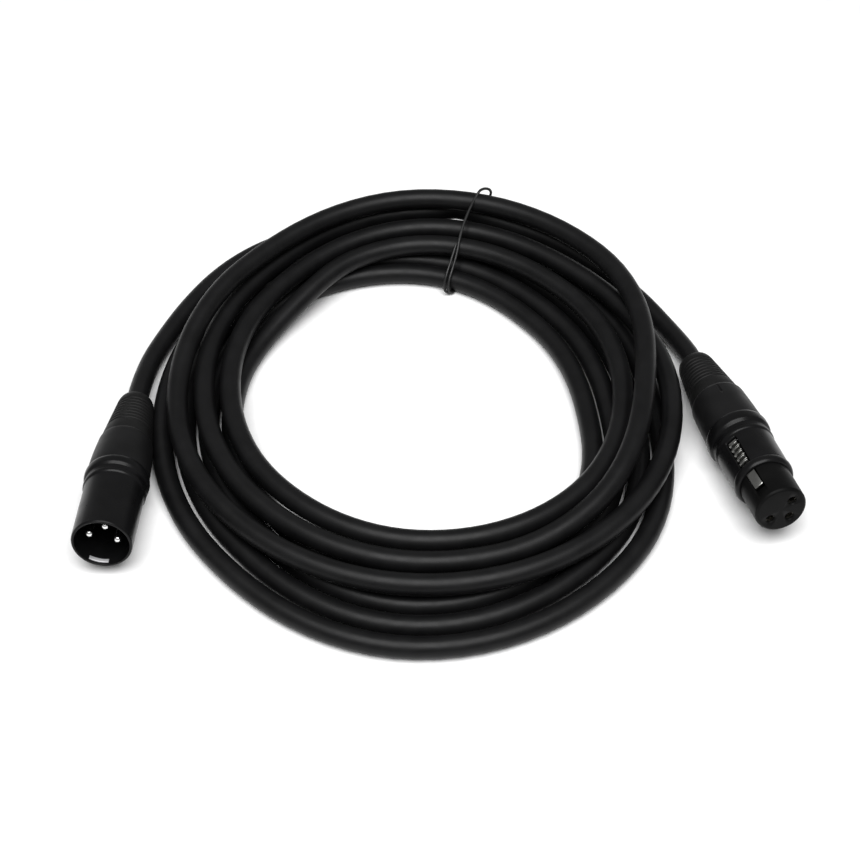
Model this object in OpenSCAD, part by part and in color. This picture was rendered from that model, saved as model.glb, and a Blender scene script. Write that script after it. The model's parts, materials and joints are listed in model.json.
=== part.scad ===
// A hand-coiled balanced audio lead, lying on a table: seven turns of round jacketed cord, a
// three-pin plug on one end, a three-hole socket with a push latch on the other, and one thin
// wire tie. Lengths along a connector are measured backwards from its mating face.

/* [Cord] */
// Diameter of the jacketed cord
cord_d = 7; // [6.8:0.1:7]
// Height of the upper layer of turns over the lower one
layer_step = 7.6; // [7.5:0.1:8.2]

/* [Plug with three pins] */
// Length from the mouth to the back of the boot
plug_len = 68.6; // [68:0.2:70]
// Depth of the socket cavity that the pins stand in
cavity_depth = 15.5; // [15:0.1:16]
// Inner radius of the cavity
cavity_r = 8.5; // [8.5:0.05:8.6]
// Radius of a contact pin
pin_r = 1.2; // [1.15:0.01:1.22]
// Distance of the pin tips behind the mouth
pin_recess = 2.6; // [2.4:0.1:3.2]

/* [Socket with three holes] */
// Length from the face to the back of the boot
socket_len = 77.6; // [77:0.2:79]
// Radius of the nose that goes into a mating plug
nose_r = 8.3; // [8.2:0.02:8.32]
// Bore radius of a contact sleeve
sleeve_r = 1.25; // [1.24:0.01:1.28]

/* [Both connectors] */
// Radius of the circle that the three contacts stand on
contact_circle = 4.4; // [4.3:0.05:4.5]

/* [Hidden] */
$fn = 48;
cord_r = cord_d / 2;

// The part's origin is the middle of its base; everything is placed from the coil's centre.
coil_at = [-7.4, 1.7, 0];

// Turns: radii every 45 degrees, clockwise from the back. Each row is back, back right, right,
// front right, front, front left, left, back left. Lower turns spiral in, upper turns spiral out.
low_inner = [61.4, 51.2, 49.9, 62.7, 72.2, 61.6, 59.4, 62.2];
low_pitch = [7.7, 7.9, 7.6, 8.3, 8, 8.3, 7.6, 7.9];
high_inner = [76, 70.9, 65.4, 64.2, 60.5, 54.9, 55, 64.1];
high_pitch = [9.5, 7.9, 7.7, 8.4, 8.8, 9.4, 8.8, 7.9];
// The cord is cut flat where it rests on the table, a tenth of its diameter deep.
flat = cord_d / 10;
low_z = cord_r - flat;
rings_per_turn = 24;
turns_down = 4;
climb = [3.8, 3.95];
turns = 7;
// Outward sway of the last two turns, every 45 degrees from turn sway_from: the fifth turn swings
// out at the right and stays outside, and the sixth crosses over it and stays inside.
sway_from = 4.875;
sway = [0, 0, 2.2, 8, 8.3, 8.7, 8.9, 8.4, 2.6, -2.2, 0.4, -8.6, -8.4, -9, -10.2, -9, -6.5, -9.5];
// Between these turns the cord rises to a third layer and comes down again.
bridge_up = [5.71, 5.86];
bridge_down = [6.28, 6.44];
cord_sides = 6;
tail_sides = 8;

// Where each connector lies: its face centre from the coil's centre, its turn about the
// vertical, the lift of its mouth, and its roll about its own axis.
plug_face = [-95.4, -68.2, 13.35];
plug_yaw = -2.2;
plug_tilt = 5.7;
plug_roll = -13;
socket_face = [111.6, -56.2, 15.45];
socket_yaw = 14;
socket_tilt = 6.5;
socket_roll = 42;

// Routes of the free stretches, as hand-laid points from the coil's centre.
plug_route = [[-90.6, 22, 3.5], [-86, 37, 2.8], [-79.8, 51.5, 2.8], [-72.4, 64.6, 2.8],
              [-63.6, 75.4, 2.8], [-52.6, 84.2, 2.8], [-39.4, 90, 2.8], [-25, 92.2, 2.8]];
socket_route = [[24.5, 91.8, 10.3], [46.8, 81, 9.3], [63.4, 68, 7], [76.6, 54, 4.4], [84.6, 41, 3.7]];

// Stations behind the mouth of the plug.
plug_insert_end = 22.5;
plug_shell_end = 30.3;
plug_jacket_end = 32.5;
plug_collar_end = 46.5;
stub_len = 5.5;
// Stations behind the face of the socket.
barrel_start = 13;
sleeve_depth = 14;
insert_solid_end = 19;
insert_end = 31;
socket_shell_end = 38.2;
socket_jacket_end = 42.5;
socket_collar_end = 55.3;
// Latch: pivot station and height over the axis, and the slot it shows through.
pivot_s = 29.2;
pivot_y = 6.8;
latch_pin_r = 0.6;
running = 0.04;
slot_half = 2;
slot_span = [15.9, 28.4];
latch_pin_half = 3.7;
// Thread, collet and jacket radii shared by both connectors.
thread_r = 7.6;
chuck_r = 6;
collar_exit_r = 4.2;
boot_bore_r = cord_r + 0.1;
chuck_len = 13;
wire_r = 0.75;
cup_r = 1.6;
cup_bore_r = 1;
contact_angles = [180, 0, 90];

/* Curves and tubes */

// Smooth value between b and c, at part f of the way, with a before and d after them.
function between(a, b, c, d, f) =
    b + 0.5 * f * (c - a + f * (2 * a - 5 * b + 4 * c - d + f * (3 * (b - c) + d - a)));

// Smooth periodic value through a row of eight, at turn t.
function ring_value(row, t) =
    let (x = (t - floor(t)) * 8, i = floor(x))
    between(row[(i + 7) % 8], row[i % 8], row[(i + 1) % 8], row[(i + 2) % 8], x - i);

// Sway at turn t, none before the row starts.
function sway_at(t) =
    let (n = len(sway) - 1, x = min(max((t - sway_from) * 8, 0), n), i = min(floor(x), n - 1))
    between(sway[max(i - 1, 0)], sway[i], sway[i + 1], sway[min(i + 2, n)], x - i);

// Smooth step from 0 to 1 over a span of turns.
function eased(t, span) =
    let (k = min(max((t - span[0]) / (span[1] - span[0]), 0), 1)) k * k * (3 - 2 * k);

// Centre of the cord at turn t: in along the lower layer, up, and out along the upper one.
function coil_point(t) =
    let (angle = 90 - 360 * t,
         low = ring_value(low_inner, t) + ring_value(low_pitch, t) * (turns_down - t),
         high = ring_value(high_inner, t) + ring_value(high_pitch, t) * (t - turns_down),
         k = eased(t, climb),
         layer = k + eased(t, bridge_up) - eased(t, bridge_down),
         r = low + (high - low) * k + sway_at(t))
    [r * cos(angle), r * sin(angle), low_z + layer_step * layer];

function unit(v) = v / norm(v);

step = 1 / rings_per_turn;
coil_start = coil_point(0);
coil_end = coil_point(turns);
start_dir = unit(coil_point(step / 4) - coil_start);
end_dir = unit(coil_end - coil_point(turns - step / 4));
start_face = coil_start - start_dir * cord_d;
end_face = coil_end + end_dir * cord_d;
coil_path = concat([start_face], [for (i = [0:turns * rings_per_turn]) coil_point(i * step)],
                   [end_face]);

// Distance of point p from the stretch between a and b.
function stretch_distance(p, a, b) =
    let (ab = b - a, k = min(max((p - a) * ab / (ab * ab), 0), 1)) norm(p - a - ab * k);

// Least gap of the tube to itself, from points over half a turn apart along it.
last = len(coil_path) - 1;
least_gap = min([for (i = [0:last - 14], j = [i + 12:last - 1])
                 stretch_distance(coil_path[i], coil_path[j], coil_path[j + 1])]) - cord_d;
echo(least_gap_of_the_coil_mm = least_gap);

// Ring of corners round point i of a path, square to it, with the first corner lowest.
function ring_at(path, i, r, sides, above) =
    let (n = len(path) - 1,
         dir = unit(unit(path[min(i + 1, n)] - path[min(i, n - 1)])
                    + unit(path[max(i, 1)] - path[max(i - 1, 0)])),
         side = unit(cross(dir, above)), up = cross(side, dir))
    [for (k = [0:sides - 1]) path[i] + r * (sin(k * 360 / sides) * side - cos(k * 360 / sides) * up)];

// One unbroken tube along a path, with triangle faces; above is never along the path.
module tube(path, r, sides, above = [0, 0, 1]) {
    n = len(path);
    corners = [for (i = [0:n - 1]) each ring_at(path, i, r, sides, above)];
    walls = [for (i = [0:n - 2], k = [0:sides - 1])
             let (a = i * sides + k, b = i * sides + (k + 1) % sides)
             each [[a, b, b + sides], [a, b + sides, a + sides]]];
    first_cap = [for (k = [1:sides - 2]) [0, k + 1, k]];
    base = (n - 1) * sides;
    last_cap = [for (k = [1:sides - 2]) [base, base + k, base + k + 1]];
    polyhedron(points = corners, faces = concat(walls, first_cap, last_cap), convexity = 12);
}

/* Placing and turning */

module from_coil() {
    translate(coil_at) children();
}

module at_plug(roll = 0) {
    from_coil() translate(plug_face) rotate([90 - plug_tilt, 0, plug_yaw]) rotate([0, 0, roll]) children();
}

module at_socket(roll = 0) {
    from_coil() translate(socket_face) rotate([90 - socket_tilt, 0, socket_yaw])
        rotate([0, 0, roll]) children();
}

// Point on a connector's axis, s behind its face.
function on_axis(face, yaw, tilt, s) =
    face - s * [sin(yaw) * cos(tilt), -cos(yaw) * cos(tilt), sin(tilt)];
function on_plug(s) = on_axis(plug_face, plug_yaw, plug_tilt, s);
function on_socket(s) = on_axis(socket_face, socket_yaw, socket_tilt, s);

// Solid of revolution about a connector's axis, from points [radius, distance behind the face].
module turned(profile) {
    rotate_extrude() polygon([for (p = profile) [p[0], -p[1]]]);
}

// Straight round hole or rod from station a to station b.
module round_span(r, a, b) {
    translate([0, 0, -b]) cylinder(r = r, h = b - a);
}

// Block with half width x, heights y, from station a to station b.
module block_span(half_x, y0, y1, a, b) {
    translate([-half_x, y0, -b]) cube([2 * half_x, y1 - y0, b - a]);
}

module at_contact(i) {
    angle = contact_angles[i - 1];
    translate([contact_circle * cos(angle), contact_circle * sin(angle), 0]) children();
}

module across(half, y, s, r) {
    translate([-half, y, -s]) rotate([0, 90, 0]) cylinder(r = r, h = 2 * half);
}

/* Pieces that both connectors have */

// Split collet that grips the jacket.
module chuck(start) {
    slit = 1;
    end = start + chuck_len;
    difference() {
        turned([[cord_r, start], [chuck_r - 0.8, start], [chuck_r, start + 1],
                [chuck_r, end - 1.5], [chuck_r - 1.2, end], [cord_r, end]]);
        for (turn = [0, 90])
            rotate([0, 0, turn]) block_span(slit / 2, -chuck_r - 1, chuck_r + 1, start + 4, end + 1);
    }
}

// Threaded collar that screws into the shell and closes the collet on the cord.
module collar(shell_end, jacket_end, end, outline, thread_len, stub_r) {
    stub_end = end + stub_len;
    chuck_end = jacket_end + 0.5 + chuck_len;
    turned(concat([[chuck_r + 0.5, shell_end - thread_len], [thread_r, shell_end - thread_len],
                   [thread_r, shell_end]],
                  outline,
                  [[stub_r, end], [stub_r, stub_end], [collar_exit_r, stub_end],
                   [collar_exit_r, chuck_end + 1], [chuck_r - 1.2, chuck_end], [chuck_r, chuck_end - 1.5],
                   [chuck_r, jacket_end], [chuck_r + 0.5, jacket_end - 1]]));
}

// Flexible boot with fine grip ribs, from the collar's end to the cord.
module boot(start, end, front_r, back_r, stub_r, ribs) {
    rib_pitch = 1.7;
    rib_depth = 0.3;
    first_rib = end - 3.6 - ribs * rib_pitch;
    function outer(s) = front_r + (back_r - front_r) * (s - start) / (end - 2.2 - start);
    turned(concat([[stub_r, start], [front_r, start]],
                  [for (i = [0:ribs - 1], k = [0:3])
                   let (s = first_rib + i * rib_pitch + [0, 0.35, 0.7, 1.05][k])
                   [outer(s) - (k == 1 || k == 2 ? rib_depth : 0), s]],
                  [[outer(end - 2.2), end - 2.2], [back_r - 0.5, end - 0.7], [back_r - 1.2, end],
                   [boot_bore_r, end], [boot_bore_r, start + stub_len], [stub_r, start + stub_len]]));
}

// Insulated core from the jacket's end into a solder cup.
module core(i, jacket_end, cup_mouth) {
    a = contact_angles[i - 1];
    dir = [cos(a), sin(a), 0];
    near = 1.3;
    back = [0, 0, -1];
    tube([near * dir + jacket_end * back, near * dir + (jacket_end - 1.5) * back,
          contact_circle * dir + (cup_mouth + 0.8) * back,
          contact_circle * dir + (cup_mouth - 2.5) * back], wire_r, cord_sides, [-sin(a), cos(a), 0]);
}

/* Cord and tie */

module coil() {
    color([0.06, 0.06, 0.065]) from_coil() intersection() {
        tube(coil_path, cord_r, cord_sides);
        translate([-150, -150, 0]) cube([300, 300, 60]);
    }
}

module plug_tail() {
    route = concat([for (s = [plug_jacket_end, plug_jacket_end + 18, plug_len, plug_len + cord_d])
                    on_plug(s)],
                   plug_route, [start_face - start_dir * cord_d, start_face]);
    color([0.06, 0.06, 0.065]) from_coil() intersection() {
        tube(route, cord_r, tail_sides);
        translate([-150, -150, 0]) cube([300, 300, 60]);
    }
}

module socket_tail() {
    route = concat([end_face, end_face + end_dir * cord_d], socket_route,
                   [for (s = [socket_len + cord_d, socket_len, socket_jacket_end + 18,
                              socket_jacket_end]) on_socket(s)]);
    color([0.06, 0.06, 0.065]) from_coil() tube(route, cord_r, tail_sides);
}

// One loop of coated wire drawn round the bundle, with a small ear above its outer end. Each point
// is its distance from the coil's centre, its height, and its shift clockwise off the tie's plane.
module wire_tie() {
    tie_angle = 79;
    tie_r = 0.55;
    out = [cos(tie_angle), sin(tie_angle), 0];
    aside = [sin(tie_angle), -cos(tie_angle), 0];
    loop = [[99.6, 18.8, 7.8], [100.2, 20.2, 8], [99.6, 21.6, 7.4], [97.6, 22.6, 5.6], [95, 22.3, 3.9],
            [92.6, 21.6, 3], [86.8, 19.2, 1.4], [80, 16.5, 0.3], [74.6, 14.3, 0], [72.6, 12.8, 0],
            [64, 6, -1.5], [62.9, 4.4, -1.8], [62.4, 2.2, -1.6], [62.6, 0.8, -0.4], [64.6, tie_r, 0.2],
            [78, tie_r, 0], [91.6, tie_r, 1], [94.4, 2.2, 1.6], [99.3, 7.8, 3.4], [100.1, 10.6, 4],
            [99.4, 17.6, 5.2], [98.8, 19.8, 5.2]];
    color([0.08, 0.08, 0.08]) from_coil()
        tube([for (p = loop) p[0] * out + [0, 0, p[1]] + p[2] * aside], tie_r, cord_sides, aside);
}

/* Plug with three pins */

module plug_shell() {
    color([0.05, 0.05, 0.055]) at_plug()
        turned([[cavity_r, 0], [9.2, 0], [9.4, 0.3], [9.5, 12], [9.55, 23.1], [10, 23.6], [10, 24.6],
                [9.6, 25], [9.6, 26.6], [10.3, 27.3], [10.4, 28], [10.4, 29.6], [10.1, plug_shell_end],
                [thread_r, plug_shell_end], [thread_r, plug_insert_end], [cavity_r, plug_insert_end]]);
}

// Bright strip that the mating latch hooks behind, round the lower edge of the mouth.
module plug_catch() {
    span = 50;
    strip = [0.7, 2.9];
    inner_r = cavity_r - 0.35;
    color([0.85, 0.86, 0.88]) at_plug(plug_roll) rotate([0, 0, -90 - span / 2])
        rotate_extrude(angle = span) polygon([[inner_r, -strip[0]], [cavity_r, -strip[0]],
                                              [cavity_r, -strip[1]], [inner_r, -strip[1]]]);
}

module plug_insert() {
    color([0.03, 0.03, 0.03]) at_plug(plug_roll) difference() {
        turned([[0, cavity_depth], [cavity_r - 0.5, cavity_depth], [cavity_r, cavity_depth + 0.5],
                [cavity_r, plug_insert_end], [0, plug_insert_end]]);
        for (i = [1:3]) at_contact(i) round_span(cup_r, cavity_depth - 1, plug_insert_end + 1);
    }
}

module plug_pin(i) {
    cup_end = plug_insert_end + 5.5;
    color([0.8, 0.8, 0.82]) at_plug(plug_roll) at_contact(i)
        turned([[0, pin_recess], [0.65, pin_recess + 0.15], [pin_r, pin_recess + 0.9],
                [pin_r, cavity_depth], [cup_r, cavity_depth], [cup_r, cup_end],
                [cup_bore_r, cup_end], [cup_bore_r, cup_end - 3.5], [0, cup_end - 3.5]]);
}

module plug_pin_1() {
    plug_pin(1);
}

module plug_pin_2() {
    plug_pin(2);
}

module plug_pin_3() {
    plug_pin(3);
}

// Earth tab from contact 1 to the shell.
module plug_ground_tab() {
    thick = 0.4;
    color([0.75, 0.6, 0.3]) at_plug(plug_roll) difference() {
        intersection() {
            union() {
                at_contact(1) round_span(2.4, plug_insert_end, plug_insert_end + thick);
                translate([-thread_r, -1.5, -plug_insert_end - thick])
                    cube([thread_r - contact_circle, 3, thick]);
            }
            round_span(thread_r, plug_insert_end, plug_insert_end + thick);
        }
        at_contact(1) round_span(cup_r, plug_insert_end - 1, plug_insert_end + 1);
    }
}

module plug_wire(i, shade) {
    color(shade) at_plug(plug_roll) core(i, plug_jacket_end, plug_insert_end + 5.5);
}

module plug_wire_1() {
    plug_wire(1, [0.72, 0.42, 0.25]);
}

module plug_wire_2() {
    plug_wire(2, [0.7, 0.1, 0.1]);
}

module plug_wire_3() {
    plug_wire(3, [0.85, 0.85, 0.85]);
}

module plug_chuck() {
    color([0.8, 0.8, 0.76]) at_plug() chuck(plug_jacket_end + 0.5);
}

module plug_collar() {
    color([0.07, 0.07, 0.075]) at_plug()
        collar(plug_shell_end, plug_jacket_end, plug_collar_end,
               [[9.95, plug_shell_end], [9.6, 38], [8.75, plug_collar_end]], 6, 6.9);
}

module plug_boot() {
    color([0.06, 0.06, 0.06]) at_plug() boot(plug_collar_end, plug_len, 8.45, 6, 6.9, 8);
}

/* Socket with three holes */

module socket_shell() {
    color([0.05, 0.05, 0.055]) at_socket(socket_roll) difference() {
        turned([[nose_r, barrel_start], [8.9, barrel_start], [9.5, 13.7], [9.7, 14.6], [9.6, 15.5],
                [9.35, 16.2], [9.45, 20], [9.5, 29.6], [9.9, 30.3], [9.9, 31.4], [9.55, 31.8],
                [9.55, 33.6], [10.4, 34.5], [10.5, 35.6], [10.5, 37.4], [10.2, socket_shell_end],
                [thread_r, socket_shell_end], [thread_r, insert_end], [nose_r, insert_end]]);
        block_span(slot_half, 7, 12, slot_span[0], slot_span[1]);
    }
}

// Insulating body: the nose with its three holes, the latch's groove and the cheeks of its pin.
module socket_insert() {
    groove_half = 1.8;
    groove_floor = 4.4;
    hollow_r = 6.6;
    color([0.03, 0.03, 0.03]) at_socket(socket_roll) difference() {
        turned([[0, 0], [nose_r - 0.8, 0], [nose_r, 0.8], [nose_r, insert_end], [hollow_r, insert_end],
                [hollow_r, insert_solid_end], [0, insert_solid_end]]);
        for (i = [1:3]) rotate([0, 0, 180]) at_contact(i) {
            round_span(sleeve_r, -1, 1.5);
            round_span(1.75, 1, insert_solid_end + 1);
        }
        block_span(groove_half, groove_floor, 10, 4.6, insert_end + 1);
        across(latch_pin_half, pivot_y, pivot_s, latch_pin_r);
    }
}

module socket_sleeve(i) {
    cup_end = insert_solid_end + 5.5;
    color([0.8, 0.66, 0.35]) at_socket(socket_roll + 180) at_contact(i)
        turned([[sleeve_r, 1], [1.75, 1], [1.75, insert_solid_end], [cup_r, insert_solid_end],
                [cup_r, cup_end], [cup_bore_r, cup_end], [cup_bore_r, cup_end - 3.5], [0, cup_end - 3.5],
                [0, 1 + sleeve_depth], [sleeve_r, 1 + sleeve_depth]]);
}

module socket_sleeve_1() {
    socket_sleeve(1);
}

module socket_sleeve_2() {
    socket_sleeve(2);
}

module socket_sleeve_3() {
    socket_sleeve(3);
}

// Latch: a rocking arm with the ribbed thumb button behind and the hook on the nose in front.
module latch_lever() {
    arm_half = 1.3;
    button_half = 1.5;
    button = [16.3, 27.7];
    button_top = 9.9;
    ridges = 5;
    ridge_pitch = (button[1] - button[0]) / ridges;
    hook = [6.2, 12.7];
    color([0.85, 0.86, 0.88]) at_socket(socket_roll) difference() {
        union() {
            block_span(arm_half, 6.4, 7.2, hook[0] + 1, pivot_s);
            across(arm_half, pivot_y, pivot_s, 1.15);
            translate([-arm_half, 0, 0]) rotate([90, 0, 90]) linear_extrude(2 * arm_half)
                polygon([[6.8, -hook[0] - 1], [7.8, -hook[0]], [8.1, -hook[0] - 0.6],
                         [8.8, -hook[1] + 0.8], [8.8, -hook[1]], [6.8, -hook[1]]]);
            block_span(button_half, 6.8, button_top, button[0], button[1]);
        }
        for (i = [1:ridges - 1])
            block_span(button_half + 1, button_top - 0.7, button_top + 1,
                       button[0] + i * ridge_pitch - 0.6, button[0] + i * ridge_pitch + 0.6);
        across(arm_half + 1, pivot_y, pivot_s, latch_pin_r + running);
    }
}

module latch_pin() {
    color([0.7, 0.7, 0.72]) at_socket(socket_roll) across(latch_pin_half, pivot_y, pivot_s, latch_pin_r);
}

// Leaf spring: its foot lies in the groove and its tip waits just under the arm.
module latch_spring() {
    half = 1;
    color([0.75, 0.75, 0.78]) at_socket(socket_roll) translate([-half, 0, 0]) rotate([90, 0, 90])
        linear_extrude(2 * half)
            polygon([[4.4, -10.5], [4.7, -10.5], [4.7, -15], [6.02, -27], [5.72, -27], [4.4, -15]]);
}

module socket_wire(i, shade) {
    color(shade) at_socket(socket_roll + 180) core(i, socket_jacket_end, insert_solid_end + 5.5);
}

module socket_wire_1() {
    socket_wire(1, [0.72, 0.42, 0.25]);
}

module socket_wire_2() {
    socket_wire(2, [0.7, 0.1, 0.1]);
}

module socket_wire_3() {
    socket_wire(3, [0.85, 0.85, 0.85]);
}

module socket_chuck() {
    color([0.8, 0.8, 0.76]) at_socket() chuck(socket_jacket_end + 0.5);
}

module socket_collar() {
    color([0.07, 0.07, 0.075]) at_socket() difference() {
        collar(socket_shell_end, socket_jacket_end, socket_collar_end,
               [[10.1, socket_shell_end], [9.65, 46.8], [9.1, socket_collar_end]], 6.2, 7.2);
        rotate([0, 0, 8]) block_span(0.35, 8.7, 12, socket_collar_end - 5.4, socket_collar_end - 0.9);
    }
}

module socket_boot() {
    color([0.06, 0.06, 0.06]) at_socket() boot(socket_collar_end, socket_len, 8.6, 6.1, 7.2, 8);
}

coil();
plug_tail();
socket_tail();
wire_tie();
plug_shell();
plug_catch();
plug_insert();
plug_pin_1();
plug_pin_2();
plug_pin_3();
plug_ground_tab();
plug_wire_1();
plug_wire_2();
plug_wire_3();
plug_chuck();
plug_collar();
plug_boot();
socket_shell();
socket_insert();
socket_sleeve_1();
socket_sleeve_2();
socket_sleeve_3();
latch_lever();
latch_pin();
latch_spring();
socket_wire_1();
socket_wire_2();
socket_wire_3();
socket_chuck();
socket_collar();
socket_boot();
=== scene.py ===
"""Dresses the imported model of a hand-coiled balanced audio lead: cord, wire tie and two connectors.

Lengths inside the classes are in millimetres and turn into metres as the meshes are made.
Stations on a connector are measured backwards from its mating face.
"""

import json
import logging
import math
from dataclasses import dataclass, field
from enum import Enum
from typing import Sequence

import bmesh
import bpy
from mathutils import Matrix, Vector

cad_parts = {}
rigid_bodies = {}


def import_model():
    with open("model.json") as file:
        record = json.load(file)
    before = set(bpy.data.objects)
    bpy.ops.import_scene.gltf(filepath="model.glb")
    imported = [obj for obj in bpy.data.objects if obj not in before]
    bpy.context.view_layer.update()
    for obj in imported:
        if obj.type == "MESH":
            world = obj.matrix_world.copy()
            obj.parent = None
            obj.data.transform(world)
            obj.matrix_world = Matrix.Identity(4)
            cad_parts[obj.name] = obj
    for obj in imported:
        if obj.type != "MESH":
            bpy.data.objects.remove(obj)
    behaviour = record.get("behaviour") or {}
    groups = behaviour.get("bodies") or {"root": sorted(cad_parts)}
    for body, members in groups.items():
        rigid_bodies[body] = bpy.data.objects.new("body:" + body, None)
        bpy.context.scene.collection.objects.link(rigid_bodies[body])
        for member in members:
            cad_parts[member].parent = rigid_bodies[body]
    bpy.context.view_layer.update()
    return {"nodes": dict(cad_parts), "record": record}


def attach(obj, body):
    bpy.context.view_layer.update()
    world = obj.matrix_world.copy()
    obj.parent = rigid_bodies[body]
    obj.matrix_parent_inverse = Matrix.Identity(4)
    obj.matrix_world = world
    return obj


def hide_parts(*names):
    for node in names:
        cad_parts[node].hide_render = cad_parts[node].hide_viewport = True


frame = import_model()

LOG = logging.getLogger("audio_lead")
MM = 0.001
BODY = "lead"
LATCH_BODY = "latch"
SHARP_DEG = 34.0
TUBE_SHARP_DEG = 60.0
TINY = 1e-6
Point2 = tuple[float, float]
Corner = tuple[float, float, float]
Colour = tuple[float, float, float]


class Grain(Enum):
    """How the fine relief of a finish runs."""

    PEBBLE = "pebble"
    ORANGE_PEEL = "orange peel"
    BRUSHED = "brushed"


# ---------------------------------------------------------------- finishes


@dataclass(frozen=True)
class Finish:
    """A procedural surface: two close tones, a spread of roughness and a fine relief.

    Args:
        name: name of the material.
        slot: material slot of the record that it paints; not used.
        dark: darker tone, linear.
        light: lighter tone, linear.
        gloss: lowest roughness.
        dull: highest roughness.
        grain: kind of relief.
        grain_size: size of one grain, mm.
        relief: height of the relief, mm.
        metallic: 1 for bare metal.
        specular: specular level of the shader.
    """

    name: str
    slot: str
    dark: Colour
    light: Colour
    gloss: float
    dull: float
    grain: Grain = Grain.PEBBLE
    grain_size: float = 0.5
    relief: float = 0.02
    metallic: float = 0.0
    specular: float = 0.5

    def build(self) -> bpy.types.Material:
        """Makes the material.

        Returns:
            The finished node material.
        """
        material = bpy.data.materials.new(self.name)
        material.use_nodes = True
        tree = material.node_tree
        tree.nodes.clear()
        output = tree.nodes.new("ShaderNodeOutputMaterial")
        shader = tree.nodes.new("ShaderNodeBsdfPrincipled")
        tree.links.new(shader.outputs["BSDF"], output.inputs["Surface"])
        shader.inputs["Metallic"].default_value = self.metallic
        shader.inputs["Specular IOR Level"].default_value = self.specular
        place = tree.nodes.new("ShaderNodeTexCoord")
        self._tone(tree, place, shader)
        self._roughness(tree, place, shader)
        self._relief(tree, place, shader)
        return material

    def _noise(self, tree: bpy.types.NodeTree, place: bpy.types.Node, size: float,
               detail: float) -> bpy.types.Node:
        """Adds a noise whose features are about size mm across.

        Args:
            tree: node tree to add to.
            place: texture coordinate node.
            size: feature size, mm.
            detail: octaves.

        Returns:
            The noise node.
        """
        noise = tree.nodes.new("ShaderNodeTexNoise")
        noise.inputs["Scale"].default_value = 1.0 / (size * MM)
        noise.inputs["Detail"].default_value = detail
        tree.links.new(place.outputs["Object"], noise.inputs["Vector"])
        return noise

    def _tone(self, tree: bpy.types.NodeTree, place: bpy.types.Node, shader: bpy.types.Node) -> None:
        """Mixes the two tones by a soft, broad mottle."""
        patch = 9.0
        all_dark, all_light = 0.35, 0.7
        noise = self._noise(tree, place, patch, 4.0)
        ramp = tree.nodes.new("ShaderNodeValToRGB")
        ramp.color_ramp.elements[0].position = all_dark
        ramp.color_ramp.elements[0].color = (*self.dark, 1.0)
        ramp.color_ramp.elements[1].position = all_light
        ramp.color_ramp.elements[1].color = (*self.light, 1.0)
        tree.links.new(noise.outputs["Fac"], ramp.inputs["Fac"])
        tree.links.new(ramp.outputs["Color"], shader.inputs["Base Color"])

    def _roughness(self, tree: bpy.types.NodeTree, place: bpy.types.Node,
                   shader: bpy.types.Node) -> None:
        """Spreads the roughness by handling marks."""
        mark = 4.0
        least, most = 0.3, 0.7
        noise = self._noise(tree, place, mark, 6.0)
        spread = tree.nodes.new("ShaderNodeMapRange")
        spread.inputs["From Min"].default_value = least
        spread.inputs["From Max"].default_value = most
        spread.inputs["To Min"].default_value = self.gloss
        spread.inputs["To Max"].default_value = self.dull
        tree.links.new(noise.outputs["Fac"], spread.inputs["Value"])
        tree.links.new(spread.outputs["Result"], shader.inputs["Roughness"])

    def _relief(self, tree: bpy.types.NodeTree, place: bpy.types.Node,
                shader: bpy.types.Node) -> None:
        """Adds the fine relief of the grain as a bump."""
        octaves = {Grain.PEBBLE: 3.0, Grain.ORANGE_PEEL: 1.0, Grain.BRUSHED: 2.0}
        brush_stretch = 0.06
        source = self._noise(tree, place, self.grain_size, octaves[self.grain])
        if self.grain is Grain.BRUSHED:
            stretch = tree.nodes.new("ShaderNodeMapping")
            stretch.inputs["Scale"].default_value = (1.0, brush_stretch, 1.0)
            tree.links.new(place.outputs["Object"], stretch.inputs["Vector"])
            tree.links.new(stretch.outputs["Vector"], source.inputs["Vector"])
        bump = tree.nodes.new("ShaderNodeBump")
        bump.inputs["Strength"].default_value = 1.0
        bump.inputs["Distance"].default_value = self.relief * MM
        tree.links.new(source.outputs["Fac"], bump.inputs["Height"])
        tree.links.new(bump.outputs["Normal"], shader.inputs["Normal"])


JACKET = Finish("black_cord_jacket", "jacket", (0.003, 0.003, 0.0032), (0.005, 0.005, 0.0053), 0.38, 0.48,
                Grain.PEBBLE, 0.35, 0.006, specular=0.18)
TIE_COAT = Finish("black_tie_coating", "tie_coating", (0.007, 0.007, 0.007), (0.018, 0.018, 0.018),
                  0.3, 0.45, Grain.PEBBLE, 0.3, 0.01, specular=0.35)
BLACK_METAL = Finish("black_lacquered_metal", "black_metal", (0.003, 0.003, 0.0032),
                     (0.005, 0.005, 0.0053), 0.26, 0.36, Grain.ORANGE_PEEL, 0.8, 0.003, specular=0.15)
COLLAR_PLASTIC = Finish("black_collar_plastic", "collar_plastic", (0.005, 0.005, 0.0052),
                        (0.008, 0.008, 0.0083), 0.4, 0.5, Grain.PEBBLE, 0.25, 0.006, specular=0.15)
BOOT_RUBBER = Finish("black_boot_rubber", "boot_rubber", (0.005, 0.005, 0.005), (0.008, 0.008, 0.008),
                     0.45, 0.6, Grain.PEBBLE, 0.3, 0.01, specular=0.14)
INSULATOR = Finish("black_insulator", "black_insulator", (0.003, 0.003, 0.003), (0.005, 0.005, 0.005),
                   0.36, 0.46, Grain.PEBBLE, 0.3, 0.005, specular=0.06)
SATIN_PLATE = Finish("satin_nickel_plate", "bright_plate", (0.62, 0.62, 0.64), (0.72, 0.72, 0.74),
                     0.45, 0.55, Grain.BRUSHED, 0.25, 0.004, metallic=0.7)
# Same nickel plating as the strip, darkened all over: painted shade for the latch's recessed hook and the
# valleys between its ribs.
LATCH_PLATE_PAINTED_SHADE = Finish("shade_darkened_latch_plate", "bright_plate", (0.2, 0.2, 0.19), (0.3, 0.3, 0.29),
                     0.2, 0.32, Grain.BRUSHED, 0.25, 0.004, metallic=1.0)
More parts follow.
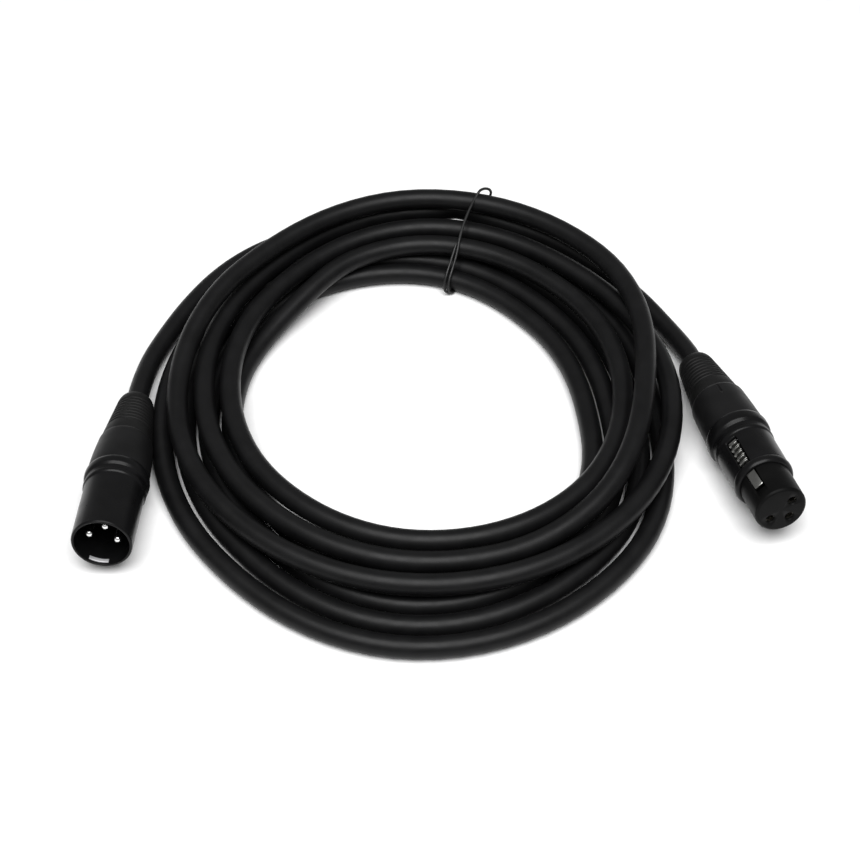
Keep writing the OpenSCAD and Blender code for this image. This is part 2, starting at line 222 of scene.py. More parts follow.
PIN_PLATE = Finish("silver_pin_plate", "pin_plate", (0.72, 0.72, 0.72), (0.9, 0.9, 0.88),
                   0.12, 0.24, Grain.BRUSHED, 0.3, 0.003, metallic=1.0)
SLEEVE_BRASS = Finish("plated_contact_brass", "contact_brass", (0.5, 0.48, 0.42), (0.62, 0.6, 0.54),
                      0.2, 0.34, Grain.BRUSHED, 0.3, 0.004, metallic=1.0)
SPRING_STEEL = Finish("spring_steel", "spring_steel", (0.5, 0.5, 0.52), (0.62, 0.62, 0.64),
                      0.25, 0.36, Grain.BRUSHED, 0.3, 0.004, metallic=1.0)
PALE_PLASTIC = Finish("pale_collet_plastic", "pale_plastic", (0.58, 0.58, 0.54), (0.68, 0.68, 0.64),
                      0.35, 0.5, Grain.PEBBLE, 0.4, 0.01)
SCREEN_COPPER = Finish("bare_screen_copper", "bare_screen", (0.6, 0.32, 0.18), (0.75, 0.45, 0.28),
                       0.3, 0.45, Grain.BRUSHED, 0.3, 0.03, metallic=1.0)
RED_CORE = Finish("red_core_insulation", "red_core", (0.42, 0.02, 0.02), (0.52, 0.03, 0.03),
                  0.35, 0.45, Grain.PEBBLE, 0.4, 0.006)
WHITE_CORE = Finish("white_core_insulation", "white_core", (0.7, 0.7, 0.67), (0.8, 0.8, 0.77),
                    0.35, 0.45, Grain.PEBBLE, 0.4, 0.006)


class Paintbox:
    """Builds each finish once and hands it out."""

    def __init__(self) -> None:
        """Starts with no material built."""
        self._made: dict[str, bpy.types.Material] = {}

    def paint(self, piece: bpy.types.Object, finish: Finish) -> None:
        """Gives a piece its finish.

        Args:
            piece: object with a mesh.
            finish: the finish that it gets.
        """
        if finish.name not in self._made:
            self._made[finish.name] = finish.build()
        piece.data.materials.clear()
        piece.data.materials.append(self._made[finish.name])


# ---------------------------------------------------------------- mesh tools


def mesh_object(name: str, points: Sequence[Sequence[float]], faces: Sequence[Sequence[int]],
                sharp_deg: float = SHARP_DEG) -> bpy.types.Object:
    """Makes a smooth-shaded object from points and faces.

    Args:
        name: name of the object.
        points: corners, in metres, in the shared frame.
        faces: corner numbers of each face.
        sharp_deg: edges that turn more than this stay sharp.

    Returns:
        The linked object.
    """
    mesh = bpy.data.meshes.new(name)
    mesh.from_pydata([tuple(p) for p in points], [], [tuple(f) for f in faces])
    mesh.validate()
    shell = bmesh.new()
    shell.from_mesh(mesh)
    bmesh.ops.recalc_face_normals(shell, faces=shell.faces)
    shell.to_mesh(mesh)
    shell.free()
    mesh.polygons.foreach_set("use_smooth", [True] * len(mesh.polygons))
    mesh.set_sharp_from_angle(angle=math.radians(sharp_deg))
    mesh.update()
    piece = bpy.data.objects.new(name, mesh)
    bpy.context.scene.collection.objects.link(piece)
    return piece


def rounded(corners: Sequence[Corner], steps: int = 4) -> list[Point2]:
    """Rounds the corners of a closed outline.

    Args:
        corners: (radius, station, fillet) of each corner, in mm.
        steps: pieces of each fillet's arc.

    Returns:
        The outline's points.
    """
    outline: list[Point2] = []
    count = len(corners)
    for i, (r, s, fillet) in enumerate(corners):
        here = Vector((r, s))
        before = Vector(corners[i - 1][:2]) - here
        after = Vector(corners[(i + 1) % count][:2]) - here
        cut = min(fillet, 0.45 * before.length, 0.45 * after.length)
        if cut <= 0:
            outline.append((r, s))
            continue
        a = here + before.normalized() * cut
        b = here + after.normalized() * cut
        for k in range(steps + 1):
            t = k / steps
            p = a * (1 - t) ** 2 + here * 2 * t * (1 - t) + b * t * t
            outline.append((p.x, p.y))
    return outline


@dataclass(frozen=True)
class Axis:
    """A connector's own frame: origin at its face, local z out of its mouth."""

    origin: Vector
    across: Vector
    along: Vector

    def place(self, x: float, y: float, s: float) -> Vector:
        """Point in the shared frame, in metres, of local x and y and station s, in mm."""
        up = self.along.cross(self.across)
        return self.origin + (self.across * x + up * y - self.along * s) * MM

    def rolled(self, degrees: float) -> "Axis":
        """The same axis, rolled about itself."""
        return Axis(self.origin, Matrix.Rotation(math.radians(degrees), 3, self.along) @ self.across,
                    self.along)

    def moved(self, x: float, y: float) -> "Axis":
        """The same axis, moved sideways by x and y mm."""
        return Axis(self.place(x, y, 0.0), self.across, self.along)


def lathe(name: str, axis: Axis, outline: Sequence[Point2], sides: int = 96) -> bpy.types.Object:
    """Turns a closed outline about a connector's axis.

    Args:
        name: name of the piece.
        axis: axis to turn about.
        outline: closed outline of (radius, station) points, mm; radius 0 is on the axis.
        sides: steps round the axis.

    Returns:
        The turned piece.
    """
    points: list[Vector] = []
    rows: list[list[int]] = []
    for r, s in outline:
        if r < TINY:
            points.append(axis.place(0.0, 0.0, s))
            rows.append([len(points) - 1] * sides)
            continue
        first = len(points)
        for k in range(sides):
            a = 2 * math.pi * k / sides
            points.append(axis.place(r * math.cos(a), r * math.sin(a), s))
        rows.append(list(range(first, first + sides)))
    faces: list[list[int]] = []
    for i in range(len(rows)):
        low, high = rows[i], rows[(i + 1) % len(rows)]
        for k in range(sides):
            n = (k + 1) % sides
            face = [low[k], low[n], high[n], high[k]]
            face = [v for j, v in enumerate(face) if v not in face[:j]]
            if len(face) > 2:
                faces.append(face)
    return mesh_object(name, points, faces)


def prism(name: str, axis: Axis, outline: Sequence[Point2], y0: float, y1: float) -> bpy.types.Object:
    """Upright prism over an outline in x and station, from height y0 to y1.

    Args:
        name: name of the piece.
        axis: connector's axis.
        outline: (x, station) points, mm.
        y0: lower height, mm.
        y1: upper height, mm.

    Returns:
        The prism.
    """
    n = len(outline)
    points = [axis.place(x, y, s) for y in (y0, y1) for x, s in outline]
    faces = [[k, (k + 1) % n, n + (k + 1) % n, n + k] for k in range(n)]
    faces += [list(range(n))[::-1], list(range(n, 2 * n))]
    return mesh_object(name, points, faces)


def slot_outline(half: float, a: float, b: float, fillet: float) -> list[Point2]:
    """Rounded rectangle in x and station, from -half to half and a to b."""
    return rounded([(-half, a, fillet), (half, a, fillet), (half, b, fillet), (-half, b, fillet)])


def carve(piece: bpy.types.Object, tool: bpy.types.Object) -> None:
    """Cuts tool out of piece and throws tool away.

    Args:
        piece: piece that is cut.
        tool: closed mesh that is taken away.
    """
    cut = piece.modifiers.new("cut", "BOOLEAN")
    cut.operation = "DIFFERENCE"
    cut.solver = "MANIFOLD"
    cut.object = tool
    settle(piece)
    bpy.data.objects.remove(tool)


def settle(piece: bpy.types.Object) -> None:
    """Applies a piece's modifiers to its mesh."""
    bpy.context.view_layer.update()
    graph = bpy.context.evaluated_depsgraph_get()
    done = bpy.data.meshes.new_from_object(piece.evaluated_get(graph))
    piece.modifiers.clear()
    piece.data = done


def soften(piece: bpy.types.Object, width: float, segments: int = 2) -> None:
    """Breaks a piece's sharp edges.

    Args:
        piece: piece to soften.
        width: width of the broken edge, mm.
        segments: steps across it.
    """
    broken_from, shown_sharp_from = 35, 50
    edge = piece.modifiers.new("edge", "BEVEL")
    edge.width = width * MM
    edge.segments = segments
    edge.limit_method = "ANGLE"
    edge.angle_limit = math.radians(broken_from)
    edge.harden_normals = False
    edge.use_clamp_overlap = True
    settle(piece)
    piece.data.polygons.foreach_set("use_smooth", [True] * len(piece.data.polygons))
    piece.data.set_sharp_from_angle(angle=math.radians(shown_sharp_from))


def sweep(name: str, path: Sequence[Vector], radius: float, sides: int) -> bpy.types.Object:
    """Round tube along a path, closed at both ends.

    Args:
        name: name of the piece.
        path: centre points, metres.
        radius: radius of the tube, metres.
        sides: corners of each ring.

    Returns:
        The tube.
    """
    last = len(path) - 1
    points: list[Vector] = []
    side = Vector((0, 0, 1)).cross(path[1] - path[0]).normalized()
    for i, centre in enumerate(path):
        ahead = (path[min(i + 1, last)] - path[max(i - 1, 0)]).normalized()
        side = (side - ahead * side.dot(ahead)).normalized()
        over = ahead.cross(side)
        for k in range(sides):
            a = 2 * math.pi * k / sides
            points.append(centre + (side * math.cos(a) + over * math.sin(a)) * radius)
    faces = [[i * sides + k, i * sides + (k + 1) % sides, (i + 1) * sides + (k + 1) % sides,
              (i + 1) * sides + k] for i in range(last) for k in range(sides)]
    faces += [list(range(sides))[::-1], list(range(last * sides, (last + 1) * sides))]
    return mesh_object(name, points, faces, TUBE_SHARP_DEG)


def smooth_line(stops: Sequence[Vector], spacing: float) -> list[Vector]:
    """Catmull-Rom line through stops.

    Args:
        stops: points that the line passes through, metres.
        spacing: distance between the line's points, metres.

    Returns:
        The line's points.
    """
    line: list[Vector] = []
    for i in range(len(stops) - 1):
        a, b, c, d = (stops[max(i - 1, 0)], stops[i], stops[i + 1], stops[min(i + 2, len(stops) - 1)])
        gap = (c - b).length
        reach = [max((q - p).length, TINY) ** 0.5 for p, q in ((a, b), (b, c), (c, d))]
        if (b - a).length < TINY:
            reach[0] = reach[1]
        if (d - c).length < TINY:
            reach[2] = reach[1]
        m1 = (c - b) / reach[1] if (b - a).length < TINY else (
            (b - a) / reach[0] - (c - a) / (reach[0] + reach[1]) + (c - b) / reach[1])
        m2 = (c - b) / reach[1] if (d - c).length < TINY else (
            (c - b) / reach[1] - (d - b) / (reach[1] + reach[2]) + (d - c) / reach[2])
        m1, m2 = m1 * reach[1], m2 * reach[1]
        count = max(2, round(gap / spacing))
        for k in range(count):
            t = k / count
            line.append(b * (2 * t ** 3 - 3 * t ** 2 + 1) + m1 * (t ** 3 - 2 * t ** 2 + t)
                        + c * (3 * t ** 2 - 2 * t ** 3) + m2 * (t ** 3 - t ** 2))
    line.append(stops[-1])
    return line


# ---------------------------------------------------------------- cord and tie


def between(a: float, b: float, c: float, d: float, f: float) -> float:
    """Smooth value between b and c, at part f of the way, with a before and d after them."""
    return b + 0.5 * f * (c - a + f * (2 * a - 5 * b + 4 * c - d + f * (3 * (b - c) + d - a)))


def eased(turn: float, span: tuple[float, float]) -> float:
    """Smooth step from 0 to 1 over a span of turns."""
    k = min(max((turn - span[0]) / (span[1] - span[0]), 0.0), 1.0)
    return k * k * (3 - 2 * k)


@dataclass
class Cord:
    """The jacketed cord: one free stretch to each connector and the turns between them.

    Radii of the turns are given every 45 degrees, clockwise from the back. The fifth turn swings
    out at the right, and the sixth crosses over it on a third layer and stays inside it.
    The low turns wind outwards to inwards, and the high ones outwards again. Each row's inner
    value is the radius of its innermost turn, and its pitch the step from turn to turn.
    """

    centre: Vector = field(default_factory=lambda: Vector((-7.4, 1.7, 0.0)))
    low_inner: tuple[float, ...] = (61.4, 51.2, 49.9, 62.7, 72.2, 61.6, 59.4, 62.2)
    low_pitch: tuple[float, ...] = (7.7, 7.9, 7.6, 8.3, 8.0, 8.3, 7.6, 7.9)
    high_inner: tuple[float, ...] = (76.0, 70.9, 65.4, 64.2, 60.5, 54.9, 55.0, 64.1)
    high_pitch: tuple[float, ...] = (9.5, 7.9, 7.7, 8.4, 8.8, 9.4, 8.8, 7.9)
    low_z: float = 2.8
    layer_step: float = 7.6
    turns_down: float = 4.0
    climb: tuple[float, float] = (3.8, 3.95)
    turns: float = 7.0
    sway_from: float = 4.875
    sway: tuple[float, ...] = (0, 0, 2.2, 8, 8.3, 8.7, 8.9, 8.4, 2.6, -2.2, 0.4, -8.6, -8.4, -9,
                               -10.2, -9, -6.5, -9.5)
    bridge_up: tuple[float, float] = (5.71, 5.86)
    bridge_down: tuple[float, float] = (6.28, 6.44)
    plug_route: tuple[tuple[float, float, float], ...] = (
        (-90.6, 22, 3.5), (-86, 37, 2.8), (-79.8, 51.5, 2.8), (-72.4, 64.6, 2.8),
        (-63.6, 75.4, 2.8), (-52.6, 84.2, 2.8), (-39.4, 90, 2.8), (-25, 92.2, 2.8))
    socket_route: tuple[tuple[float, float, float], ...] = (
        (24.5, 91.8, 10.3), (46.8, 81, 9.3), (63.4, 68, 7), (76.6, 54, 4.4), (84.6, 41, 3.7))
    diameter: float = 7.0
    lift: float = 0.72
    length: float = 3.72
    inside_boot: float = 26.0
    spacing: float = 4.0
    steps_per_turn: int = 96
    sides: int = 24

    def ring_value(self, row: Sequence[float], turn: float) -> float:
        """Smooth periodic value through a row of eight, at a turn.

        Args:
            row: eight values, one every 45 degrees.
            turn: turns since the first passing of the back.

        Returns:
            The value there.
        """
        x = (turn % 1.0) * 8
        i = int(x)
        return between(row[i - 1], row[i % 8], row[(i + 1) % 8], row[(i + 2) % 8], x - i)

    def sway_at(self, turn: float) -> float:
        """Outward sway at a turn, in mm, none before the row starts."""
        row, last = self.sway, len(self.sway) - 1
        x = min(max((turn - self.sway_from) * 8, 0.0), float(last))
        i = min(int(x), last - 1)
        return between(row[max(i - 1, 0)], row[i], row[i + 1], row[min(i + 2, last)], x - i)

    def coil_point(self, turn: float) -> Vector:
        """Centre of the cord at a turn, in mm from the coil's centre."""
        angle = math.radians(90 - 360 * turn)
        low = self.ring_value(self.low_inner, turn) + self.ring_value(self.low_pitch, turn) * (
            self.turns_down - turn)
        high = self.ring_value(self.high_inner, turn) + self.ring_value(self.high_pitch, turn) * (
            turn - self.turns_down)
        k = eased(turn, self.climb)
        layer = k + eased(turn, self.bridge_up) - eased(turn, self.bridge_down)
        r = low + (high - low) * k + self.sway_at(turn)
        return Vector((r * math.cos(angle), r * math.sin(angle), self.low_z + self.layer_step * layer))

    def to_frame(self, point: Sequence[float]) -> Vector:
        """Point in the shared frame, in metres, of a point in mm from the coil's centre."""
        return (Vector(point) + self.centre + Vector((0, 0, self.lift))) * MM

    def path(self, plug: Axis, socket: Axis, plug_end: float, socket_end: float) -> list[Vector]:
        """The cord's whole centreline, from inside one boot to inside the other.

        Args:
            plug: axis of the three-pin plug.
            socket: axis of the three-hole socket.
            plug_end: station of the back of the plug's boot.
            socket_end: station of the back of the socket's boot.

        Returns:
            Points in metres.
        """
        inside, ahead = self.inside_boot, self.diameter
        count = round(self.turns * self.steps_per_turn)
        turns = [self.coil_point(i / self.steps_per_turn) for i in range(count + 1)]
        lead_in = (turns[1] - turns[0]).normalized() * ahead
        lead_out = (turns[-1] - turns[-2]).normalized() * ahead
        first = [plug.place(0, 0, s) for s in (plug_end - inside, plug_end, plug_end + ahead)]
        first += [self.to_frame(p) for p in self.plug_route]
        first += [self.to_frame(turns[0] - lead_in * 2), self.to_frame(turns[0] - lead_in),
                  self.to_frame(turns[0])]
        second = [self.to_frame(turns[-1]), self.to_frame(turns[-1] + lead_out),
                  self.to_frame(turns[-1] + lead_out * 2)]
        second += [self.to_frame(p) for p in self.socket_route]
        second += [socket.place(0, 0, s)
                   for s in (socket_end + ahead, socket_end, socket_end - inside)]
        spacing = self.spacing * MM
        return (smooth_line(first, spacing)[:-1] + [self.to_frame(p) for p in turns[:-1]]
                + smooth_line(second, spacing))

    def build(self, plug: "Plug", socket: "Socket", paints: Paintbox) -> bpy.types.Object:
        """Args:
            plug: the three-pin plug.
            socket: the three-hole socket, at the cord's far end.
            paints: the finishes.

        Returns:
            The cord.
        """
        line = self.path(plug.axis, socket.axis, plug.length, socket.length)
        piece = sweep("cord", line, self.diameter / 2 * MM, self.sides)
        paints.paint(piece, JACKET)
        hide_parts("coil", "plug_tail", "socket_tail")
        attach(piece, BODY)
        along = sum((b - a).length for a, b in zip(line, line[1:]))
        LOG.info("cord: %d points, %.0f mm long", len(line), along / MM)
        tuple(plug.axis.place(0, 0, plug.length))
        return piece


@dataclass
class WireTie:
    """One coated wire drawn round the turns: doubled at the inner side, with an ear at the top.

    Each point of its run is its distance from the coil's centre, its height, and its shift
    clockwise off the tie's plane.
    """

    angle: float = 79.0
    radius: float = 0.5
    spacing: float = 0.8
    sides: int = 10
    run: tuple[Corner, ...] = (
        (73.6, 14.2, -0.9), (69.4, 11.4, -1.6), (64.2, 7.4, -2.6), (62.6, 5, -2.9), (62, 2.6, -2.6),
        (62.4, 1.3, -1.4), (64.6, 0.7, -0.7), (67, 0.62, -0.6), (89, 0.62, 0.8), (91.6, 0.8, 1),
        (94.6, 2.6, 1.6), (99.2, 8, 3.4), (100, 11.3, 4.4), (99.3, 15, 5.8), (98.7, 17.8, 6.9),
        (98.4, 19.8, 7.3), (97.9, 21.3, 6.9), (96.8, 22.5, 5.6), (94.8, 23, 4), (92.6, 22, 3),
        (86.8, 19.8, 1.4), (80, 17.2, 0.3), (74.8, 15, 0), (72.9, 13.8, 0), (69.2, 10.7, -0.4),
        (64, 6.7, -1.3), (62.6, 4.6, -1.5), (62.2, 2.3, -1.2), (63, 1, -0.2), (65.6, 0.65, 0.5),
        (70, 0.62, 0.6))

    def build(self, cord: Cord, paints: Paintbox) -> bpy.types.Object:
        """Makes the tie.

        Args:
            cord: the cord that it holds.
            paints: the finishes.

        Returns:
            The tie.
        """
        a = math.radians(self.angle)
        out, aside = Vector((math.cos(a), math.sin(a), 0)), Vector((math.sin(a), -math.cos(a), 0))
        stops = [(cord.centre + out * r + aside * shift + Vector((0, 0, z))) * MM
                 for r, z, shift in self.run]
        piece = sweep("tie_wire", smooth_line(stops, self.spacing * MM), self.radius * MM, self.sides)
        paints.paint(piece, TIE_COAT)
        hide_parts("wire_tie")
        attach(piece, BODY)
        LOG.info("tie_wire: %d faces", len(piece.data.polygons))
        return piece


# ---------------------------------------------------------------- connectors


def dress(node: str, finish: Finish, paints: Paintbox) -> None:
    """Gives a CAD node that is shown as it is its finish.

    Args:
        node: name of the node.
        finish: the finish that it gets.
        paints: the finishes.
    """
    piece = frame["nodes"][node]
    paints.paint(piece, finish)
    LOG.info("%s: %s", node, finish.name)


def finish_piece(piece: bpy.types.Object, finish: Finish, paints: Paintbox, nodes: Sequence[str],
                 body: str = BODY) -> bpy.types.Object:
    """Paints a new piece and hangs it on its body in place of its CAD nodes.

    Args:
        piece: the new piece.
        finish: its finish.
        paints: the finishes.
        nodes: CAD nodes that it stands for.
        body: CAD body that it rides on.

    Returns:
        The piece.
    """
    paints.paint(piece, finish)
    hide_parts(*nodes)
    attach(piece, body)
    LOG.info("%s: %d faces, %s", piece.name, len(piece.data.polygons), finish.name)
    return piece


def mount(name: str) -> dict:
    """The record's mount of that name."""
    return next(m for m in frame["record"]["mounts"] if m["name"] == name)


@dataclass
class Connector:
    """What both connectors share: the axis, the boot and the pieces inside.

    Args:
        side: name that starts the names of its CAD nodes.
        axis: its own frame.
        length: station of the boot's back end.
        collar_end: station where the boot begins.
    """

    side: str
    axis: Axis
    length: float
    collar_end: float
    contact_circle: float = 4.4

    def boot(self, front_r: float, back_r: float, stub_r: float, ribs: int,
             paints: Paintbox) -> bpy.types.Object:
        """Makes the flexible boot with its grip ribs.

        Args:
            front_r: radius where it meets the collar, mm.
            back_r: radius at its back, mm.
            stub_r: radius of the collar's stub inside it, mm.
            ribs: grip ribs.
            paints: the finishes.

        Returns:
            The boot.
        """
        start, end = self.collar_end, self.length
        pitch, depth, groove = 1.7, 0.3, ((0.0, 0), (0.35, 1), (0.7, 1), (1.05, 0))
        lip = end - 2.2
        joint, seat = start + 0.06, start + 5.5
        hole_r = 3.62
        first = end - 3.6 - ribs * pitch

        def outer(s: float) -> float:
            """Radius of the boot's side at a station."""
            return front_r + (back_r - front_r) * (s - start) / (lip - start)

        corners: list[Corner] = [(stub_r, joint, 0), (front_r, joint, 0.35)]
        for i in range(ribs):
            for offset, sunk in groove:
                s = first + i * pitch + offset
                corners.append((outer(s) - sunk * depth, s, 0.2))
        corners += [(outer(lip), lip, 1.4), (back_r - 0.5, end - 0.7, 0.8), (back_r - 1.2, end, 0.5),
                    (hole_r, end, 0.3), (hole_r, seat, 0), (stub_r, seat, 0)]
        piece = lathe(f"{self.side}_grip_boot", self.axis, rounded(corners, 3))
        return finish_piece(piece, BOOT_RUBBER, paints, [f"{self.side}_boot"])

    def inner_works(self, paints: Paintbox) -> None:
        """Dresses the pieces that stay inside the shell."""
        dress(f"{self.side}_chuck", PALE_PLASTIC, paints)
        dress(f"{self.side}_wire_1", SCREEN_COPPER, paints)
        dress(f"{self.side}_wire_2", RED_CORE, paints)
        dress(f"{self.side}_wire_3", WHITE_CORE, paints)


@dataclass
class Plug(Connector):
    """The three-pin plug."""

    cavity_r: float = 8.5
    cavity_depth: float = 15.5
    pin_r: float = 1.2
    pin_recess: float = 2.6
    pin_angles: tuple[float, ...] = (180.0, 0.0, 90.0)
    insert_end: float = 22.5
    shell_end: float = 30.3

    def barrel(self, paints: Paintbox) -> None:
        """Makes the barrel with its double ring."""
        corners = [(self.cavity_r, 0.0, 0.25), (9.15, 0.0, 0.3), (9.4, 0.45, 0.3), (9.48, 12.0, 0),
                   (9.5, 22.8, 0.3), (9.95, 23.4, 0.3), (10.0, 24.4, 0.35), (9.55, 24.95, 0.25),
                   (9.55, 26.5, 0.25), (10.25, 27.2, 0.4), (10.38, 28.2, 0.5), (10.38, 29.3, 0.5),
                   (10.05, self.shell_end, 0.15), (7.6, self.shell_end, 0), (7.6, self.insert_end, 0),
                   (self.cavity_r, self.insert_end, 0)]
        piece = lathe("plug_barrel", self.axis, rounded(corners, 4), 128)
        finish_piece(piece, BLACK_METAL, paints, ["plug_shell"])

    def catch(self, paints: Paintbox) -> None:
        """Makes the bright strip round the lower edge of the mouth."""
        half, thick = 21.0, 0.35
        front, back = 0.85, 2.25
        outer = self.cavity_r - 0.01
        steps = 28
        points: list[Vector] = []
        section = rounded([(outer - thick, front, 0.12), (outer, front, 0), (outer, back, 0),
                           (outer - thick, back, 0.12)], 3)
        for i in range(steps + 1):
            a = math.radians(-90 - half + 2 * half * i / steps)
            points += [self.axis.place(r * math.cos(a), r * math.sin(a), s) for r, s in section]
        n = len(section)
        faces = [[i * n + k, (i + 1) * n + k, (i + 1) * n + (k + 1) % n, i * n + (k + 1) % n]
                 for i in range(steps) for k in range(n)]
        faces += [list(range(n)), list(range(steps * n, (steps + 1) * n))[::-1]]
        finish_piece(mesh_object("plug_bright_strip", points, faces), SATIN_PLATE, paints,
                     ["plug_catch"])

    def disc(self, paints: Paintbox) -> None:
        """Makes the insulating disc, with a low ring round its middle."""
        depth = self.cavity_depth
        corners = [(0.0, depth, 0), (1.4, depth, 0.1), (1.5, depth + 0.3, 0.1), (2.0, depth + 0.3, 0.1),
                   (2.1, depth, 0.1), (self.cavity_r - 0.5, depth, 0.3),
                   (self.cavity_r - 0.02, depth + 0.5, 0.1), (self.cavity_r - 0.02, self.insert_end, 0),
                   (0.0, self.insert_end, 0)]
        piece = lathe("plug_contact_disc", self.axis, rounded(corners, 3), 96)
        finish_piece(piece, INSULATOR, paints, ["plug_insert"])

    def pins(self, paints: Paintbox) -> None:
        """Makes the three contact pins with rounded tips, and their solder cups."""
        tip = self.pin_recess
        r = self.pin_r
        dome: list[Point2] = [(r * math.sin(math.radians(10 * k)), tip + 1.0 - math.cos(
            math.radians(10 * k))) for k in range(10)]
        cup_r, cup_bore_r, cup_depth = 1.6, 1.0, 3.5
        cup_start, cup_end = self.insert_end, self.insert_end + 5.5
        tail: list[Point2] = [(r, cup_start), (cup_r, cup_start), (cup_r, cup_end),
                              (cup_bore_r, cup_end), (cup_bore_r, cup_end - cup_depth),
                              (0.0, cup_end - cup_depth)]
        for number, angle in enumerate(self.pin_angles, 1):
            x = self.contact_circle * math.cos(math.radians(angle))
            y = self.contact_circle * math.sin(math.radians(angle))
            piece = lathe(f"plug_contact_{number}", self.axis.moved(x, y), dome + tail, 32)
            finish_piece(piece, PIN_PLATE, paints, [f"plug_pin_{number}"])

    def collar(self, paints: Paintbox) -> None:
        """Makes the screwed collar behind the barrel."""
        corners = [(6.5, 24.4, 0), (7.58, 24.4, 0), (7.58, self.shell_end + 0.05, 0),
                   (9.9, self.shell_end + 0.05, 0.25), (9.6, 38.0, 3.0), (8.85, 45.6, 0.4),
                   (8.6, self.collar_end, 0.3), (6.88, self.collar_end, 0), (6.88, 51.9, 0),
                   (4.2, 51.9, 0), (4.2, 47.0, 0), (6.0, 44.0, 0), (6.0, 33.0, 0)]
        piece = lathe("plug_screw_collar", self.axis, rounded(corners, 4))
        finish_piece(piece, COLLAR_PLASTIC, paints, ["plug_collar"])

    def build(self, paints: Paintbox) -> None:
        """Makes and dresses the whole plug."""
        self.barrel(paints)
        self.catch(paints)
        self.disc(paints)
        self.pins(paints)
        self.collar(paints)
        self.boot(8.45, 6.0, 6.9, 8, paints)
        dress("plug_ground_tab", SLEEVE_BRASS, paints)
        self.inner_works(paints)


